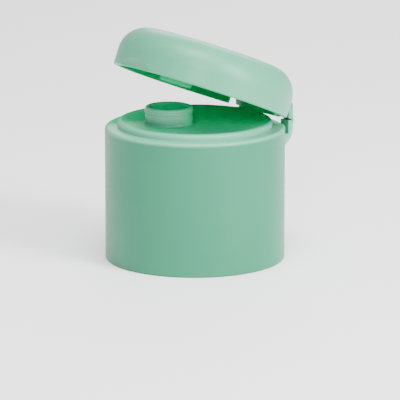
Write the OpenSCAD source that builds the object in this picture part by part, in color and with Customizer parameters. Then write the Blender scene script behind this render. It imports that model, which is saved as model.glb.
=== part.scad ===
// Flip-top dispensing cap for a 24 mm continuous-thread bottle neck.
// One polypropylene moulding: a closure with a pouring spout, and a lid that swings on two straps.
// Millimetres, +Z up, origin at the centre of the skirt's bottom rim, thumb side toward -Y.
// The lid stands ajar, as the cap is left between two pourings.

/* [Skirt] */
// Height from the bottom rim to the ledge that the lid closes on
skirt_h = 20.1; // [18:0.1:26]
// Diameter of the inside wall, at the root of the thread
neck_d = 24.2; // [23.8:0.1:24.4]
// Wall of the skirt
skirt_wall = 1.4; // [1.3:0.05:1.6]
// How far the plain inside wall above the thread stands in from that wall
neck_step = 0.2; // [0.1:0.05:0.5]
// Radius on the outer edge of the ledge
ledge_round = 0.45; // [0.1:0.05:0.6]
// Radius on the outside of the bottom rim
rim_round = 0.25; // [0.05:0.05:0.4]
// Chamfer that leads the bottle's neck in
lead_in = 0.4; // [0.1:0.05:0.6]

/* [Top wall] */
// Thickness of the top wall
deck_t = 1.3; // [1:0.1:1.8]
// Width of the ledge round the raised deck
ledge_w = 1.9; // [1.7:0.05:2.2]
// Height of the raised deck above the ledge
deck_h = 0.95; // [0.5:0.05:1.4]
// Radius on the deck's edge
deck_round = 0.5; // [0.1:0.05:0.5]

/* [Spout] */
// Bore of the spout
spout_bore_d = 5.7; // [5.4:0.1:6.4]
// Wall of the spout
spout_wall = 0.7; // [0.6:0.05:1]
// Height of the spout above the raised deck
spout_h = 2.65; // [1.5:0.05:3]
// Distance of the spout from the cap's centre, toward the thumb side
spout_offset = 4.85; // [3:0.05:6]
// Radius of the bead round the spout's lip
bead_round = 0.35; // [0.3:0.05:0.5]
// How far that bead stands out from the spout
bead_out = 0.1; // [0.04:0.01:0.15]
// Radius of the fillet at the spout's foot
spout_fillet = 0.35; // [0.1:0.05:0.5]

/* [Neck seal] */
// Distance of the ring that plugs the bottle's mouth from the root of the thread
seal_inset = 3.5; // [3:0.1:4.5]
// Wall of that ring
seal_wall = 0.8; // [0.6:0.1:1.2]
// How far the ring reaches below the top wall
seal_h = 2.4; // [1.5:0.1:3]

/* [Lid] */
// How far the lid stands out over the skirt
lid_overhang = 0.05; // [0:0.05:0.2]
// Height of the lid's side and edge radius, rim to dome
lid_h = 6.7; // [6.2:0.1:8]
// Rise of the dome above the edge radius
lid_crown = 0.25; // [0.1:0.05:0.6]
// Wall of the lid
lid_wall = 1.1; // [0.9:0.05:1.2]
// Radius where the lid's side turns into its dome
lid_round = 4.1; // [2:0.1:4.6]
// Bevel on the outer edge of the lid's rim
lid_rim_bevel = 0.15; // [0.05:0.05:0.3]
// Gap between the closed lid and the ledge
lid_seat_gap = 0.05; // [0.02:0.01:0.1]
// How far the lid stands open, in degrees
lid_open = 22; // [0:1:90]

/* [Lid plug] */
// Radial clearance between the lid's plug and the spout's bore
plug_clearance = 0.42; // [0.4:0.01:0.6]
// Wall of the plug
plug_wall = 0.6; // [0.5:0.05:0.9]
// How far the plug's tip reaches past the lid's rim
plug_reach = 0.3; // [0:0.05:0.8]
// Radius of the fillet at the plug's root
plug_fillet = 0.5; // [0.2:0.05:0.8]

/* [Thumb scoop] */
// Height of the scoop above the lid's rim
scoop_h = 1.4; // [0.8:0.05:1.6]
// Radius of the scoop's hollow
scoop_curve = 3; // [2.6:0.1:5]
// How far the middle of the hollow lies below the rim
scoop_drop = 0.3; // [0:0.05:0.4]

/* [Hinge] */
// How far the hinge line lies outside the skirt
hinge_out = 0.1; // [0.1:0.05:0.4]
// Height of the hinge line above the ledge
hinge_z = 0.2; // [0.15:0.05:0.3]
// Width over the two straps
straps_w = 13; // [12:0.1:13.2]
// Width of one strap
strap_w = 1.95; // [1.4:0.05:2.4]
// Thickness of a strap
strap_t = 0.85; // [0.7:0.05:0.95]
// Reach of the straps below the hinge line
strap_low = 4; // [3.4:0.1:4.4]
// Radius in which the lower end of a strap runs into the skirt
strap_curve = 2.9; // [2.2:0.1:3.2]
// Depth of the groove behind a strap's outer edge
strap_groove = 2; // [1.4:0.1:2.2]
// Reach of the straps above the hinge line, along the strap
strap_high = 2.7; // [2.6:0.05:3]
// Lean of the strap's upper half toward the lid when the lid is shut, in degrees
strap_lean = 23; // [18:1:26]
// Gap on both sides of a strap in its slot in the lid's wall
slot_gap = 0.4; // [0.3:0.05:0.6]
// Height of that slot
slot_h = 2.1; // [1.6:0.05:2.2]
// Depth of the notch in the ledge, from slot to slot
notch_depth = 0.45; // [0.3:0.05:0.8]
// Thickness of the film that bends
film_t = 0.3; // [0.2:0.05:0.4]
// Clearance round that film
film_gap = 0.04; // [0.02:0.01:0.08]

/* [Hidden] */

$fn = 96;
// Facets on the very flat arcs of the dome
dome_fn = 1440;
// Thread room left below the tip of the neck seal
seal_room = 0.2;
// Overlap that makes joined shapes meet, and overshoot of cuts
eps = 0.02;
over = 1;

neck_r = neck_d / 2;
body_r = neck_r + skirt_wall;
neck_top_r = neck_r - neck_step;
deck_r = body_r - ledge_w;
spout_bore_r = spout_bore_d / 2;
spout_r = spout_bore_r + spout_wall;
seal_r = neck_r - seal_inset;
plug_r = spout_bore_r - plug_clearance;
lid_r = body_r + lid_overhang;
hinge_y = body_r + hinge_out;

// Heights above the bottom rim
deck_z = skirt_h + deck_h;
deck_under_z = deck_z - deck_t;
land_z = skirt_h - deck_t;
thread_end_z = land_z - seal_h - seal_room;
spout_z = deck_z + spout_h;
hinge_height = skirt_h + hinge_z;
lid_rim_z = skirt_h + lid_seat_gap;

// Inside of the top wall: the flat that seals on the bottle's lip ends where the dish begins
dish_r = deck_r - deck_t;

// Centre of the lid's edge radius, and of the dome that is tangent to it
edge_x = lid_r - lid_round;
edge_z = lid_rim_z + lid_h - lid_round;
dome_reach = (edge_x * edge_x + lid_crown * lid_crown) / (2 * lid_crown);
dome_z = edge_z - dome_reach + lid_crown;

// Inside of the lid's dome above its centre
ceiling_z = dome_z + dome_reach + lid_round - lid_wall;

// Inner edge of a strap, and where its free outer edge begins
strap_in_x = straps_w / 2 - strap_w;
groove_x = strap_in_x + strap_w / 4;
// Inner side of a strap's slot, and the width over both slots
slot_in_x = strap_in_x - slot_gap;
notch_w = straps_w + 2 * slot_gap;
// Middle of the skirt's wall, where the straps are rooted
root_r = (neck_r + body_r) / 2;

module mint() {
    color([0.56, 0.75, 0.67]) children();
}

module pale_mint() {
    color([0.66, 0.82, 0.76]) children();
}

// Waste outside a rounded corner at [x, z]; the corner points toward [sx, sz]
module corner_waste(x, z, r, sx, sz) {
    translate([x - sx * r, z - sz * r]) difference() {
        translate([sx > 0 ? 0 : -r - eps, sz > 0 ? 0 : -r - eps]) square(r + eps);
        circle(r = r);
    }
}

// Fill of a hollow corner at [x, z]; its open side lies toward [sx, sz]
module corner_fill(x, z, r, sx, sz) {
    translate([x + sx * r, z + sz * r]) difference() {
        translate([sx > 0 ? -r - eps : 0, sz > 0 ? -r - eps : 0]) square(r + eps);
        circle(r = r);
    }
}

// Turns a section drawn as [y, z] into a bar of length w along +X
module along_x(w) {
    rotate([90, 0, 90]) linear_extrude(w) children();
}

module both_sides() {
    children();
    mirror([1, 0, 0]) children();
}

// Puts what is drawn round the hinge line in its place
module at_hinge() {
    translate([0, hinge_y, hinge_height]) children();
}

// Half section of the skirt, ledge and raised deck, with the dish and the lip seat inside
module closure_section() {
    difference() {
        union() {
            square([body_r, skirt_h]);
            square([deck_r, deck_z]);
        }
        corner_waste(body_r, 0, rim_round, 1, -1);
        corner_waste(body_r, skirt_h, ledge_round, 1, 1);
        corner_waste(deck_r, deck_z, deck_round, 1, 1);
        translate([-over, -over]) square([neck_r + over, thread_end_z + over]);
        translate([-over, -over]) square([neck_top_r + over, land_z + over]);
        translate([-over, -over]) square([dish_r + over, deck_under_z + over]);
        polygon([
            [neck_r - eps, -eps],
            [neck_r + lead_in + eps, -eps],
            [neck_r - eps, lead_in + eps]
        ]);
    }
}

// Half section of the ring that plugs the bottle's mouth, tapering to a round tip
module seal_section() {
    tip_r = seal_wall / 4;
    tip_x = seal_r - seal_wall / 2;
    tip_z = land_z - seal_h + tip_r;
    taper_z = land_z - seal_h / 3;
    polygon([
        [seal_r - seal_wall, deck_under_z + eps],
        [seal_r - seal_wall, taper_z],
        [tip_x - tip_r, tip_z],
        [tip_x + tip_r, tip_z],
        [seal_r, taper_z],
        [seal_r, deck_under_z + eps]
    ]);
    translate([tip_x, tip_z]) circle(r = tip_r);
}

// Half section of the spout's wall, with a round lip, a bead below it and a fillet at its foot
module spout_section() {
    lip_r = spout_wall / 2;
    lip_z = spout_z - lip_r;
    translate([spout_bore_r, deck_under_z]) square([spout_wall, lip_z - deck_under_z]);
    translate([spout_bore_r + lip_r, lip_z]) circle(r = lip_r);
    translate([spout_r + bead_out - bead_round, lip_z - bead_round]) circle(r = bead_round);
    corner_fill(spout_r, deck_z, spout_fillet, 1, 1);
}

// Notch in the ledge under the slots and the wall between them, outside the raised deck
module ledge_notch() {
    difference() {
        translate([-notch_w / 2, 0, skirt_h - notch_depth])
            cube([notch_w, body_r + over, notch_depth + over]);
        cylinder(r = deck_r, h = deck_z + over);
    }
}

// Half of a strap below the hinge line: a band with its end run into the skirt by a curve,
// free of the skirt behind its outer edge, and the film along its top
module lower_strap() {
    root = hinge_y - root_r + strap_t;
    foot_h = strap_low - strap_groove;
    web_h = strap_low - hinge_z - notch_depth;
    difference() {
        at_hinge() intersection() {
            union() {
                translate([strap_in_x, -strap_t, -strap_low]) cube([strap_w, strap_t, strap_low]);
                translate([strap_in_x, -root, -strap_low]) cube([strap_w, root, foot_h]);
                translate([strap_in_x, -root, -strap_low]) cube([groove_x - strap_in_x, root, web_h]);
            }
            translate([strap_in_x - over, 0, 0]) along_x(strap_w + 2 * over) difference() {
                translate([-root - over, -strap_low]) square([root + over, strap_low]);
                corner_waste(0, -strap_low, strap_curve, 1, -1);
            }
        }
        cylinder(r = root_r, h = hinge_height);
    }
    at_hinge() translate([strap_in_x, 0, 0]) rotate([0, 90, 0]) cylinder(r = film_t / 2, h = strap_w);
}

module cap_body() {
    mint() difference() {
        union() {
            difference() {
                rotate_extrude() closure_section();
                ledge_notch();
            }
            rotate_extrude() seal_section();
            translate([0, -spout_offset, 0]) rotate_extrude() spout_section();
            both_sides() lower_strap();
        }
        translate([0, -spout_offset, deck_under_z - over])
            cylinder(r = spout_bore_r, h = deck_t + spout_h + 2 * over);
    }
}

// Half outline of the lid, drawn in by inset all round and open downward to low_z
module lid_outline(inset, low_z) {
    dome_r = dome_reach + lid_round - inset;
    tangent_x = edge_x * dome_r / dome_reach;
    intersection() {
        translate([0, dome_z]) circle(r = dome_r, $fn = dome_fn);
        translate([0, low_z]) square([tangent_x, dome_z + dome_r - low_z + over]);
    }
    intersection() {
        translate([edge_x, edge_z]) circle(r = lid_round - inset);
        translate([0, edge_z - eps]) square([lid_r, lid_round + eps]);
    }
    translate([0, low_z]) square([lid_r - inset, edge_z - low_z]);
}

module lid_section() {
    difference() {
        lid_outline(0, lid_rim_z);
        lid_outline(lid_wall, lid_rim_z - over);
        polygon([
            [lid_r - lid_rim_bevel - eps, lid_rim_z - eps],
            [lid_r + eps, lid_rim_z - eps],
            [lid_r + eps, lid_rim_z + lid_rim_bevel + eps]
        ]);
    }
}

// Half section of the plug that closes the spout: a ring with a round tip and a filleted root
module plug_section() {
    tip_r = plug_wall / 2;
    tip_z = lid_rim_z - plug_reach + tip_r;
    translate([plug_r - plug_wall, tip_z]) square([plug_wall, ceiling_z - tip_z + lid_wall / 2]);
    translate([plug_r - tip_r, tip_z]) circle(r = tip_r);
    corner_fill(plug_r, ceiling_z, plug_fillet, 1, -1);
}

// Hollow for the thumb: a level cylinder that bites into the lid's wall from outside
module thumb_scoop() {
    stand_off = sqrt(pow(scoop_curve, 2) - pow(scoop_h + scoop_drop, 2));
    translate([-lid_r, -lid_r - stand_off, lid_rim_z - scoop_drop])
        rotate([0, 90, 0]) cylinder(r = scoop_curve, h = 2 * lid_r);
}

// Half of a strap above the hinge line, from the film to the lid's wall over the slot
module upper_strap() {
    at_hinge() rotate([strap_lean, 0, 0]) translate([strap_in_x, 0, 0]) along_x(strap_w) difference() {
        polygon([
            [0, film_gap],
            [0, strap_high],
            [-strap_t, strap_high],
            [-strap_t, strap_t * tan(strap_lean) + film_gap]
        ]);
        circle(r = film_t / 2 + film_gap);
        corner_waste(0, strap_high, strap_t / 4, 1, 1);
    }
}

module closed_lid() {
    difference() {
        union() {
            rotate_extrude() lid_section();
            translate([0, -spout_offset, 0]) rotate_extrude() plug_section();
        }
        both_sides() translate([slot_in_x, 0, lid_rim_z - over])
            cube([notch_w / 2 - slot_in_x, lid_r + over, slot_h + over]);
        thumb_scoop();
    }
    both_sides() upper_strap();
}

module flip_lid() {
    pale_mint() at_hinge() rotate([-lid_open, 0, 0]) translate([0, -hinge_y, -hinge_height]) closed_lid();
}

cap_body();
flip_lid();
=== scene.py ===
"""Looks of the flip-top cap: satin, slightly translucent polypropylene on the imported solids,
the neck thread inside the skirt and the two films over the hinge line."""

import math

import bmesh
import bpy
from mathutils import Matrix, Vector


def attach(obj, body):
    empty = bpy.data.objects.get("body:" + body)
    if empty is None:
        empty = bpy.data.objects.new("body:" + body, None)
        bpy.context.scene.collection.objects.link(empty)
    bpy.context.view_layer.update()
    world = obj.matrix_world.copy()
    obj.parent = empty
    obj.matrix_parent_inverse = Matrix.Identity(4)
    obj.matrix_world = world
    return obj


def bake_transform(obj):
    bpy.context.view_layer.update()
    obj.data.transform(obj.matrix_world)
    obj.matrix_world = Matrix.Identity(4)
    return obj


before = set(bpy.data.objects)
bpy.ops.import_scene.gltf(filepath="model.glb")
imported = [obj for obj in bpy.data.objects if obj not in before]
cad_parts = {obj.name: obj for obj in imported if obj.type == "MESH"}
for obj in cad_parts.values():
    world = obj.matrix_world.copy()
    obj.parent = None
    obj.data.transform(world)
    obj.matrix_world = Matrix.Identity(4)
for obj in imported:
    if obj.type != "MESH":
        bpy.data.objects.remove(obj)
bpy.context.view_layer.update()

MM = 0.001

# Sizes repeated from the part's source, in millimetres
BODY_R = 13.5
NECK_R = 12.1
SKIRT_H = 20.1
DECK_R = 11.6
DECK_H = 0.95
SPOUT_OFFSET = 4.85
SPOUT_R = 3.55
LID_R = 13.55
LID_ROUND = 4.1
LID_WALL = 1.1
LID_EDGE_Z = 22.75
LID_OPEN = 22
HINGE = Vector((0, 13.6, 20.3))
STRAP_IN_X = 4.55
STRAP_W = 1.95
FILM_T = 0.3

# Film over the hinge line: its height, the round of its edges, and how far it covers the bead
FILM_H = 1.1
FILM_EDGE = 0.05
FILM_OVERLAP = 0.02

# Right-handed thread of the standard 24 mm neck finish
PITCH = 3.175
THREAD_TURNS = 1.5
THREAD_STEPS = 96
THREAD_START_Z = 7.2
THREAD_CREST_R = 11.0
THREAD_ROOT_W = 1.9
THREAD_CREST_W = 0.7
THREAD_SINK = 0.03
THREAD_EDGE = 0.18
FADE_STEPS = 9


def deselect():
    """Leaves edit mode and empties the selection."""
    if bpy.context.object and bpy.context.object.mode != "OBJECT":
        bpy.ops.object.mode_set(mode="OBJECT")
    bpy.ops.object.select_all(action="DESELECT")


def only(obj):
    deselect()
    obj.select_set(True)
    bpy.context.view_layer.objects.active = obj


def apply_modifiers(obj):
    only(obj)
    for modifier in list(obj.modifiers):
        bpy.ops.object.modifier_apply(modifier=modifier.name)


def select_verts(obj, test):
    """Selects, in edit mode, the vertices whose place passes the test."""
    bpy.ops.mesh.select_mode(type="VERT")
    bpy.ops.mesh.select_all(action="DESELECT")
    mesh = bmesh.from_edit_mesh(obj.data)
    for vert in mesh.verts:
        vert.select = test(vert.co)
    mesh.select_flush_mode()
    bmesh.update_edit_mesh(obj.data)


def settle(obj, name):
    """Puts the object's place into its mesh, turns its faces outward and names it."""
    only(obj)
    bpy.ops.object.transform_apply(location=True, rotation=True, scale=True)
    bpy.ops.object.mode_set(mode="EDIT")
    bpy.ops.mesh.select_all(action="SELECT")
    bpy.ops.mesh.normals_make_consistent(inside=False)
    bpy.ops.object.mode_set(mode="OBJECT")
    bpy.ops.object.shade_smooth_by_angle(angle=math.radians(40))
    obj.name = name
    obj.data.name = name
    return obj


# Noise scales of the plastic, per metre
CLOUD_SCALE = 130
FLOW_SCALE = 420
PORE_SCALE = 1500
GRAIN_SCALE = 5200

# Roughness of the smoothest plastic, softened edge and height of the grain in millimetres
LEAST_ROUGHNESS = 0.33
SOFT_EDGE = 0.09
GRAIN_RELIEF = 0.03

# Specular level of the plastic where it is lit, and where it is shaded
SHEEN = 0.38
SHADED_SHEEN = 0.0

# Level directions across the cap, towards the side that the photograph shows and to its right
TOWARDS = (0.8, -0.6)
RIGHTWARDS = (0.6, 0.8)


def node(tree, kind, at=(0, 0), **values):
    made = tree.nodes.new(kind)
    made.location = at
    for key, value in values.items():
        setattr(made, key, value)
    return made


def math_node(tree, operation, a, b=None):
    """A maths node; a and b are sockets or numbers."""
    made = node(tree, "ShaderNodeMath", operation=operation)
    for slot, value in enumerate((a, b)):
        if value is None:
            continue
        if isinstance(value, (int, float)):
            made.inputs[slot].default_value = value
        else:
            tree.links.new(value, made.inputs[slot])
    return made.outputs[0]


def plus(tree, a, b):
    return math_node(tree, "ADD", a, b)


def times(tree, a, b):
    return math_node(tree, "MULTIPLY", a, b)


def larger(tree, a, b):
    return math_node(tree, "MAXIMUM", a, b)


def inverse(tree, value):
    """1 minus the value."""
    return math_node(tree, "SUBTRACT", 1.0, value)


def ramp(tree, value, low, high):
    """Smooth step of a value from 0 at low to 1 at high."""
    made = node(tree, "ShaderNodeMapRange", interpolation_type="SMOOTHSTEP")
    tree.links.new(value, made.inputs["Value"])
    made.inputs["From Min"].default_value = low
    made.inputs["From Max"].default_value = high
    return made.outputs["Result"]


def noise(tree, vector, scale, detail=3.0, roughness=0.5):
    made = node(tree, "ShaderNodeTexNoise")
    tree.links.new(vector, made.inputs["Vector"])
    made.inputs["Scale"].default_value = scale
    made.inputs["Detail"].default_value = detail
    made.inputs["Roughness"].default_value = roughness
    return made.outputs["Fac"]


def moulded_surface():
    """Node group: cloudy variation of the resin, flow lines, and the fine grain of the mould."""
    tree = bpy.data.node_groups.new("moulded_surface", "ShaderNodeTree")
    tree.interface.new_socket(name="Cloud", in_out="OUTPUT", socket_type="NodeSocketFloat")
    tree.interface.new_socket(name="Roughness", in_out="OUTPUT", socket_type="NodeSocketFloat")
    tree.interface.new_socket(name="Normal", in_out="OUTPUT", socket_type="NodeSocketVector")
    out = node(tree, "NodeGroupOutput", (900, 0))
    coords = node(tree, "ShaderNodeTexCoord", (-900, 0)).outputs["Object"]
    cloud = noise(tree, coords, CLOUD_SCALE, 4, 0.6)
    stretch = node(tree, "ShaderNodeMapping", (-700, -200))
    stretch.inputs["Scale"].default_value = (1.0, 1.0, 0.25)
    tree.links.new(coords, stretch.inputs["Vector"])
    flow = noise(tree, stretch.outputs["Vector"], FLOW_SCALE, 3, 0.55)
    grain = noise(tree, coords, GRAIN_SCALE, 2, 0.6)
    pores = noise(tree, coords, PORE_SCALE, 4, 0.65)
    mixed = plus(tree, times(tree, cloud, 0.7), times(tree, flow, 0.3))
    tree.links.new(ramp(tree, mixed, 0.3, 0.7), out.inputs["Cloud"])
    worn = ramp(tree, pores, 0.35, 0.7)
    rough = plus(tree, times(tree, worn, 0.07), times(tree, mixed, 0.06))
    tree.links.new(plus(tree, rough, LEAST_ROUGHNESS), out.inputs["Roughness"])
    edge = node(tree, "ShaderNodeBevel", (-100, -500), samples=6)
    edge.inputs["Radius"].default_value = SOFT_EDGE * MM
    relief = plus(tree, times(tree, grain, 0.5), times(tree, flow, 0.5))
    bump = node(tree, "ShaderNodeBump", (300, -500))
    bump.inputs["Strength"].default_value = 0.12
    bump.inputs["Distance"].default_value = GRAIN_RELIEF * MM
    tree.links.new(relief, bump.inputs["Height"])
    tree.links.new(edge.outputs["Normal"], bump.inputs["Normal"])
    tree.links.new(bump.outputs["Normal"], out.inputs["Normal"])
    return tree


SURFACE = moulded_surface()


def mix_colour(tree, factor, a, b):
    """Mix of two colours by a socket; each colour is a socket or an RGBA."""
    made = node(tree, "ShaderNodeMix", data_type="RGBA")
    tree.links.new(factor, made.inputs[0])
    for slot, value in ((6, a), (7, b)):
        if isinstance(value, tuple):
            made.inputs[slot].default_value = value
        else:
            tree.links.new(value, made.inputs[slot])
    return made.outputs[2]


def resin(name, light, edges=None, shade=None):
    """Satin translucent plastic. edges and shade are functions of tree and coordinates that
    return a mask: the first of a painted highlight in pale green, the second of a painted shade
    in deep green over it."""
    material = bpy.data.materials.new(name)
    material.use_nodes = True
    tree = material.node_tree
    tree.nodes.clear()
    out = node(tree, "ShaderNodeOutputMaterial", (900, 0))
    shader = node(tree, "ShaderNodeBsdfPrincipled", (500, 0))
    surface = node(tree, "ShaderNodeGroup", (-300, -200), node_tree=SURFACE)
    coords = node(tree, "ShaderNodeTexCoord", (-900, 0)).outputs["Object"]
    darker = tuple(0.93 * channel for channel in light[:3]) + (1,)
    colour = mix_colour(tree, surface.outputs["Cloud"], light, darker)
    if edges:
        colour = mix_colour(tree, edges(tree, coords), colour, PAINTED_HIGHLIGHT)
    if shade:
        shaded = shade(tree, coords)
        colour = mix_colour(tree, shaded, colour, PAINTED_SHADE)
        dull = times(tree, shaded, SHEEN - SHADED_SHEEN)
        sheen = math_node(tree, "SUBTRACT", SHEEN, dull)
        tree.links.new(sheen, shader.inputs["Specular IOR Level"])
    else:
        shader.inputs["Specular IOR Level"].default_value = SHEEN
    tree.links.new(colour, shader.inputs["Base Color"])
    tree.links.new(surface.outputs["Roughness"], shader.inputs["Roughness"])
    tree.links.new(surface.outputs["Normal"], shader.inputs["Normal"])
    shader.inputs["IOR"].default_value = 1.5
    shader.inputs["Subsurface Weight"].default_value = 0.35
    shader.inputs["Subsurface Radius"].default_value = (0.5, 1.0, 0.75)
    shader.inputs["Subsurface Scale"].default_value = 1.2 * MM
    tree.links.new(shader.outputs["BSDF"], out.inputs["Surface"])
    return material


def separate(tree, coords):
    made = node(tree, "ShaderNodeSeparateXYZ")
    tree.links.new(coords, made.inputs[0])
    return made.outputs


def radius_about(tree, x, y, y0):
    """Distance from the upright line through (0, y0)."""
    dy = math_node(tree, "SUBTRACT", y, y0)
    return math_node(tree, "SQRT", plus(tree, times(tree, x, x), times(tree, dy, dy)))


def distance_along(tree, x, y, direction):
    """Distance from the axis along a level direction."""
    return plus(tree, times(tree, x, direction[0]), times(tree, y, direction[1]))


def body_shade(tree, coords):
    """1 where painted shade in deep green is laid on the body: the deck, the far part of the
    ledge, the bore and the inside of the skirt, and in part on the far side of the spout."""
    x, y, z = separate(tree, coords)
    off_axis = radius_about(tree, x, y, 0.0)
    off_spout = radius_about(tree, x, y, -SPOUT_OFFSET * MM)
    towards = distance_along(tree, x, y, TOWARDS)

    deck = inverse(tree, ramp(tree, off_axis, (DECK_R - 0.7) * MM, (DECK_R - 0.1) * MM))
    away = inverse(tree, ramp(tree, towards, -2.0 * MM, 2.5 * MM))
    high = ramp(tree, z, (SKIRT_H - 0.5) * MM, (SKIRT_H - 0.05) * MM)
    within = inverse(tree, ramp(tree, off_axis, (BODY_R - 0.05) * MM, (BODY_R + 0.1) * MM))
    ledge = times(tree, times(tree, away, high), within)
    top = larger(tree, deck, ledge)

    beside_spout = ramp(tree, off_spout, SPOUT_R * MM, (SPOUT_R + 0.7) * MM)
    unlit = inverse(tree, ramp(tree, towards, 0.5 * MM, 11.5 * MM))
    on_top = times(tree, times(tree, top, beside_spout), unlit)

    spout_along = RIGHTWARDS[1] * -SPOUT_OFFSET
    rightwards = distance_along(tree, x, y, RIGHTWARDS)
    far = ramp(tree, rightwards, (spout_along + 1.2) * MM, (spout_along + 3.4) * MM)
    on_spout = times(tree, times(tree, inverse(tree, beside_spout), far), 0.6)

    bore = inverse(tree, ramp(tree, off_spout, 2.86 * MM, 3.05 * MM))
    inner = inverse(tree, ramp(tree, off_axis, (NECK_R + 0.1) * MM, (NECK_R + 0.5) * MM))
    under = inverse(tree, ramp(tree, z, 19.8 * MM, 20.0 * MM))
    outside = larger(tree, larger(tree, on_top, on_spout), bore)
    return larger(tree, outside, times(tree, inner, under))


def body_painted_highlight(tree, coords):
    """1 where a painted highlight in pale green is laid on: the deck's side, the ledge and the
    straps, and in part on the spout."""
    x, y, z = separate(tree, coords)
    off_axis = radius_about(tree, x, y, 0.0)
    outer = ramp(tree, off_axis, (DECK_R - 1.1) * MM, (DECK_R - 0.4) * MM)
    high = ramp(tree, z, (SKIRT_H - 0.7) * MM, (SKIRT_H - 0.05) * MM)
    straps = ramp(tree, off_axis, (BODY_R + 0.05) * MM, (BODY_R + 0.25) * MM)
    highlit = larger(tree, times(tree, outer, high), straps)
    spout = ramp(tree, z, (SKIRT_H + DECK_H) * MM, (SKIRT_H + DECK_H + 1.6) * MM)
    return larger(tree, highlit, times(tree, spout, 0.6))


def lid_shade(tree, coords):
    """1 inside the lid, where painted shade in deep green is laid on, 0 on its outside, in the
    lid's own upright frame.
    """
    turn = node(tree, "ShaderNodeVectorRotate", rotation_type="X_AXIS")
    turn.inputs["Center"].default_value = HINGE * MM
    turn.inputs["Angle"].default_value = math.radians(LID_OPEN)
    tree.links.new(coords, turn.inputs["Vector"])
    x, y, z = separate(tree, turn.outputs[0])
    off_axis = radius_about(tree, x, y, 0.0)
    beyond = math_node(tree, "SUBTRACT", off_axis, (LID_R - LID_ROUND) * MM)
    above = math_node(tree, "SUBTRACT", z, LID_EDGE_Z * MM)
    squares = [
        math_node(tree, "POWER", larger(tree, length, 0.0), 2.0) for length in (beyond, above)
    ]
    depth = math_node(tree, "SQRT", plus(tree, *squares))
    mid_wall = (LID_ROUND - LID_WALL / 2) * MM
    return inverse(tree, ramp(tree, depth, mid_wall - 0.1 * MM, mid_wall + 0.1 * MM))


def srgb(red, green, blue):
    """Linear colour of an 8-bit display colour."""
    def linear(v):
        v /= 255
        return v / 12.92 if v <= 0.04045 else ((v + 0.055) / 1.055) ** 2.4

    return (linear(red), linear(green), linear(blue), 1)


# Painted light: a deep green laid on as painted shade and a pale green laid on as painted
# highlight
PAINTED_SHADE = srgb(0, 184, 122)
PAINTED_HIGHLIGHT = srgb(92, 170, 140)
BODY_RESIN = resin("body_resin", srgb(34, 124, 92), body_painted_highlight, body_shade)
LID_RESIN = resin("lid_resin", srgb(76, 154, 124), shade=lid_shade)
THREAD_RESIN = resin("thread_resin", srgb(40, 145, 98))
STRAP_RESIN = resin("strap_resin", srgb(70, 152, 120))

for name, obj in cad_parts.items():
    chosen = LID_RESIN if name == "flip_lid" else BODY_RESIN
    if not obj.material_slots:
        obj.data.materials.append(chosen)
    for slot in obj.material_slots:
        slot.material = chosen


def neck_thread():
    """One and a half turns of a trapezium thread that fades into the wall at both ends."""
    deselect()
    bpy.ops.mesh.primitive_plane_add(size=1)
    obj = bpy.context.object
    bpy.ops.object.mode_set(mode="EDIT")
    bpy.ops.mesh.select_all(action="SELECT")
    depth = NECK_R + THREAD_SINK - THREAD_CREST_R
    middle = (THREAD_CREST_R + depth / 2) * MM
    root_size = (depth * MM, THREAD_ROOT_W * MM, 1)
    bpy.ops.transform.resize(value=root_size, center_override=(0, 0, 0))
    bpy.ops.transform.translate(value=(middle, 0, 0))
    select_verts(obj, lambda co: co.x < middle)
    crest_size = (1, THREAD_CREST_W / THREAD_ROOT_W, 1)
    bpy.ops.transform.resize(value=crest_size, center_override=(0, 0, 0))
    bpy.ops.mesh.select_all(action="SELECT")
    bpy.ops.mesh.bevel(offset=THREAD_EDGE * MM, segments=3, affect="VERTICES")
    bpy.ops.mesh.delete(type="ONLY_FACE")
    bpy.ops.object.mode_set(mode="OBJECT")
    obj.rotation_euler = (math.radians(90), 0, 0)
    obj.location = (0, 0, THREAD_START_Z * MM)
    bpy.ops.object.transform_apply(location=True, rotation=True, scale=True)
    screw = obj.modifiers.new("turns", "SCREW")
    screw.axis = "Z"
    screw.angle = math.radians(360 * THREAD_TURNS)
    screw.screw_offset = PITCH * THREAD_TURNS * MM
    screw.steps = THREAD_STEPS
    screw.render_steps = THREAD_STEPS
    screw.use_smooth_shade = True
    apply_modifiers(obj)
    bpy.ops.object.mode_set(mode="EDIT")
    bpy.ops.mesh.select_mode(type="VERT")
    bpy.ops.mesh.select_all(action="DESELECT")
    bpy.ops.mesh.select_non_manifold()
    bpy.ops.mesh.edge_face_add()
    fade_ends(obj)
    bpy.ops.object.mode_set(mode="OBJECT")
    return settle(obj, "neck_thread")


def fade_ends(obj):
    """Draws the first and last steps of the helix out into the skirt's wall."""
    step = 2 * math.pi * THREAD_TURNS / THREAD_STEPS
    rise = PITCH * THREAD_TURNS / THREAD_STEPS
    for end in (0, 1):
        for k in range(FADE_STEPS):
            index = k if end == 0 else THREAD_STEPS - k
            z_mid = THREAD_START_Z + index * rise
            angle = index * step
            direction = Vector((math.cos(angle), math.sin(angle), 0))

            def on_ring(co):
                flat = Vector((co.x, co.y, 0))
                off = abs(flat.cross(direction).z)
                near = abs(co.z / MM - z_mid) < THREAD_ROOT_W / 2 + 0.2
                return off < 0.02 * MM and flat.dot(direction) > 0 and near

            select_verts(obj, on_ring)
            share = 1 - math.sin(0.5 * math.pi * (k + 0.35) / FADE_STEPS)
            grow = 1 + share * (NECK_R / THREAD_CREST_R - 1)
            bpy.ops.transform.resize(value=(grow, grow, 1), center_override=(0, 0, 0))


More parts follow.
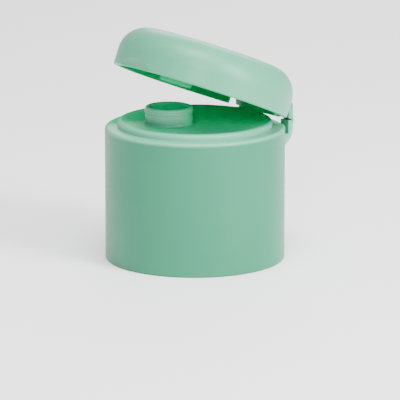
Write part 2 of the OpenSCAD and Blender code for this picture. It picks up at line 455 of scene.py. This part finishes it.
def strap_film(side, name):
    """Thin band over the hinge line that joins the two halves of a strap."""
    deselect()
    bpy.ops.mesh.primitive_cube_add(size=1)
    obj = bpy.context.object
    bpy.ops.object.mode_set(mode="EDIT")
    bpy.ops.mesh.select_all(action="SELECT")
    film_size = Vector((STRAP_W + FILM_OVERLAP, FILM_T + FILM_OVERLAP, FILM_H)) * MM
    bpy.ops.transform.resize(value=film_size, center_override=(0, 0, 0))
    bpy.ops.mesh.subdivide(number_cuts=7)
    bpy.ops.object.mode_set(mode="OBJECT")
    obj.location = (
        side * (STRAP_IN_X + STRAP_W / 2) * MM,
        (HINGE.y - FILM_T / 2 + FILM_OVERLAP) * MM,
        HINGE.z * MM,
    )
    bevel = obj.modifiers.new("edge", "BEVEL")
    bevel.width = FILM_EDGE * MM
    bevel.segments = 2
    bevel.limit_method = "ANGLE"
    apply_modifiers(obj)
    return settle(obj, name)


def add_piece(obj, material):
    obj.data.materials.clear()
    obj.data.materials.append(material)


thread = neck_thread()
add_piece(thread, THREAD_RESIN)
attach(thread, "cap_body")

for side, name in ((-1, "strap_film_left"), (1, "strap_film_right")):
    film = strap_film(side, name)
    add_piece(film, STRAP_RESIN)
    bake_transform(film)


def floor():
    deselect()
    bpy.ops.mesh.primitive_plane_add(size=6)
    obj = bpy.context.object
    obj.name = "floor"
    material = bpy.data.materials.new("floor_paper")
    material.use_nodes = True
    tree = material.node_tree
    shader = tree.nodes["Principled BSDF"]
    coords = node(tree, "ShaderNodeTexCoord").outputs["Object"]
    fibres = noise(tree, coords, 60)
    tint = mix_colour(tree, fibres, (0.93, 0.93, 0.93, 1), (0.95, 0.95, 0.95, 1))
    tree.links.new(tint, shader.inputs["Base Color"])
    shader.inputs["Roughness"].default_value = 0.75
    obj.data.materials.append(material)


def area_light(name, place, target, size, power):
    data = bpy.data.lights.new(name, "AREA")
    data.shape = "RECTANGLE"
    data.size, data.size_y = size
    data.energy = power
    obj = bpy.data.objects.new(name, data)
    bpy.context.collection.objects.link(obj)
    obj.location = place
    aim = Vector(target) - Vector(place)
    obj.rotation_euler = aim.to_track_quat("-Z", "Y").to_euler()


def bearing(azimuth, elevation, distance, target=(0, 0, 0.02)):
    """A place round the cap: azimuth 0 is in front of the thumb side and 90 at +X."""
    a, e = math.radians(azimuth), math.radians(elevation)
    return (
        target[0] + distance * math.cos(e) * math.sin(a),
        target[1] - distance * math.cos(e) * math.cos(a),
        target[2] + distance * math.sin(e),
    )


# Soft lights round the cap: name, azimuth, elevation, distance, size and power
LIGHTS = (
    ("key", 104, 28, 0.42, (0.14, 0.3), 3.4),
    ("front", 48, 26, 0.5, (0.1, 0.16), 1.0),
    ("top", 60, 74, 0.4, (0.2, 0.2), 2.2),
    ("rim", 225, 30, 0.45, (0.25, 0.2), 0.9),
)


def studio():
    world = bpy.data.worlds.new("studio")
    world.use_nodes = True
    background = world.node_tree.nodes["Background"]
    background.inputs["Color"].default_value = (1, 1, 1, 1)
    background.inputs["Strength"].default_value = 0.8
    bpy.context.scene.world = world
    for name, azimuth, elevation, distance, size, power in LIGHTS:
        area_light(name, bearing(azimuth, elevation, distance), (0, 0, 0.02), size, power)


# Place of the camera found from the photograph: it looks at the axis at ledge height, and that
# point lies off the picture's centre by these angles
CAMERA_AZIMUTH = 53.0
CAMERA_ELEVATION = 11.9
CAMERA_DISTANCE = 0.482
CAMERA_DOWN = 1.327
CAMERA_SIDE = 0.09
CAMERA_LENS = 290


def camera():
    data = bpy.data.cameras.new("camera")
    data.lens = CAMERA_LENS
    data.sensor_width = 36
    data.clip_start = 0.01
    data.clip_end = 20
    obj = bpy.data.objects.new("camera", data)
    bpy.context.collection.objects.link(obj)
    target = Vector((0, 0, SKIRT_H * MM))
    place = Vector(bearing(CAMERA_AZIMUTH, CAMERA_ELEVATION, CAMERA_DISTANCE, target))
    look = (target - place).to_track_quat("-Z", "Y").to_matrix().to_4x4()
    sideways = Matrix.Rotation(math.radians(-CAMERA_SIDE), 4, "Y")
    downward = Matrix.Rotation(math.radians(-CAMERA_DOWN), 4, "X")
    obj.matrix_world = Matrix.Translation(place) @ look @ sideways @ downward
    bpy.context.scene.camera = obj


floor()
studio()
camera()
